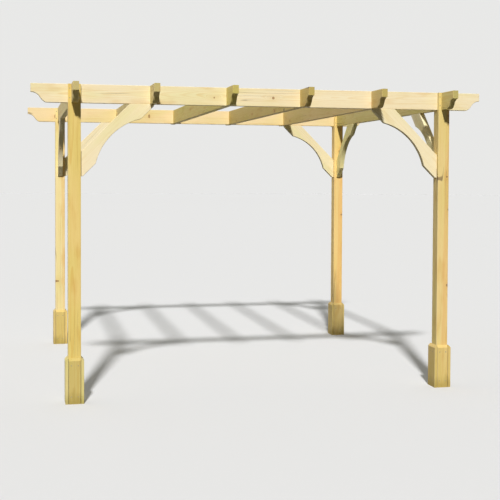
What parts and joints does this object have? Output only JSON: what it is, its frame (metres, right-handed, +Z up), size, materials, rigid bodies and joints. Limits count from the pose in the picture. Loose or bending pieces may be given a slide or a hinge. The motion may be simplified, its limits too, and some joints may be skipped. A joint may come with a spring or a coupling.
{
  "type": "garden pergola",
  "caption": "Freestanding timber pergola: slotted posts with boarded feet, cross-halved beams and rafters with shaped ends, and curved knee braces.",
  "frame": {"origin": "ground level at the centre of the plan", "axes": "+X along the beams to the right, +Y along the rafters to the back, +Z up"},
  "size_m": [3.6, 3.3, 2.4],
  "materials": {
    "post_timber": "planed pressure-treated softwood, matt, faint green tint",
    "beam_timber": "planed pressure-treated softwood, matt",
    "rafter_timber": "planed pressure-treated softwood, matt",
    "brace_timber": "planed pressure-treated softwood, matt",
    "collar_timber": "planed pressure-treated softwood, matt, faint green tint"
  },
  "bodies": {
    "root": {"beam_front": "beam_timber", "beam_back": "beam_timber", "rafter_1": "rafter_timber", "rafter_2": "rafter_timber", "rafter_3": "rafter_timber", "rafter_4": "rafter_timber", "rafter_5": "rafter_timber", "rafter_6": "rafter_timber", "post_front_left": "post_timber", "brace_front_left_beam": "brace_timber", "brace_front_left_rafter": "brace_timber", "collar_front_left_front": "collar_timber", "collar_front_left_back": "collar_timber", "collar_front_left_left": "collar_timber", "collar_front_left_right": "collar_timber", "post_front_right": "post_timber", "brace_front_right_beam": "brace_timber", "brace_front_right_rafter": "brace_timber", "collar_front_right_front": "collar_timber", "collar_front_right_back": "collar_timber", "collar_front_right_left": "collar_timber", "collar_front_right_right": "collar_timber", "post_back_left": "post_timber", "brace_back_left_beam": "brace_timber", "brace_back_left_rafter": "brace_timber", "collar_back_left_front": "collar_timber", "collar_back_left_back": "collar_timber", "collar_back_left_left": "collar_timber", "collar_back_left_right": "collar_timber", "post_back_right": "post_timber", "brace_back_right_beam": "brace_timber", "brace_back_right_rafter": "brace_timber", "collar_back_right_front": "collar_timber", "collar_back_right_back": "collar_timber", "collar_back_right_left": "collar_timber", "collar_back_right_right": "collar_timber"}
  },
  "joints": []
}
